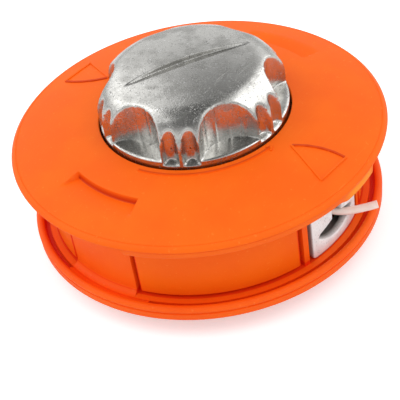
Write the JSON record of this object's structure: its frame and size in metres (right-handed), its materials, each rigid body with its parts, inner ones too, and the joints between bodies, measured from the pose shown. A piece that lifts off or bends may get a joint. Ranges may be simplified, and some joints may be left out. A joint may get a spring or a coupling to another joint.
{
  "type": "line trimmer head",
  "caption": "Bump-feed line trimmer head: flanged drum with a sprung spool, cast bump knob, metal line eyelets and a left-hand threaded adapter.",
  "frame": {"origin": "centre of the hub face that sits against the gearbox, on the spin axis", "axes": "+Z along the spin axis towards the bump knob, +X through the right-hand eyelet"},
  "size_m": [0.13, 0.13, 0.067],
  "materials": {
    "housing_plastic": "satin moulded nylon, orange",
    "cover_plastic": "satin moulded nylon, orange",
    "knob_casting": "tumbled die casting, bright with fine scratches",
    "spool_plastic": "moulded nylon, dark grey",
    "nylon_line": "clear-white nylon monofilament",
    "eyelet_metal": "blasted die casting, pale grey",
    "bright_steel": "zinc-plated steel"
  },
  "bodies": {
    "housing": {"housing": "housing_plastic", "cover": "cover_plastic", "eyelet_right": "eyelet_metal", "eyelet_left": "eyelet_metal", "threaded_adapter": "bright_steel", "bump_spring": "bright_steel", "line_end_right": "nylon_line", "line_end_left": "nylon_line"},
    "spring_carrier": {"spring_washer": "bright_steel"},
    "spool": {"spool": "spool_plastic", "bump_knob": "knob_casting", "winding_lower": "nylon_line", "winding_upper": "nylon_line", "knob_screw": "bright_steel", "screw_washer": "bright_steel"}
  },
  "joints": [
    {"name": "knob_bump", "type": "slide", "parent": "housing", "child": "spring_carrier", "axis": [0, 0, -1], "range_m": [0, 0.0045], "stiffness_N_per_m": 1500, "springref_m": -0.01, "deforming": ["bump_spring"]},
    {"name": "spool_turn", "type": "hinge", "parent": "spring_carrier", "child": "spool", "pos_m": [0, 0, 0.03], "axis": [0, 0, -1], "range_deg": [0, 25]}
  ]
}
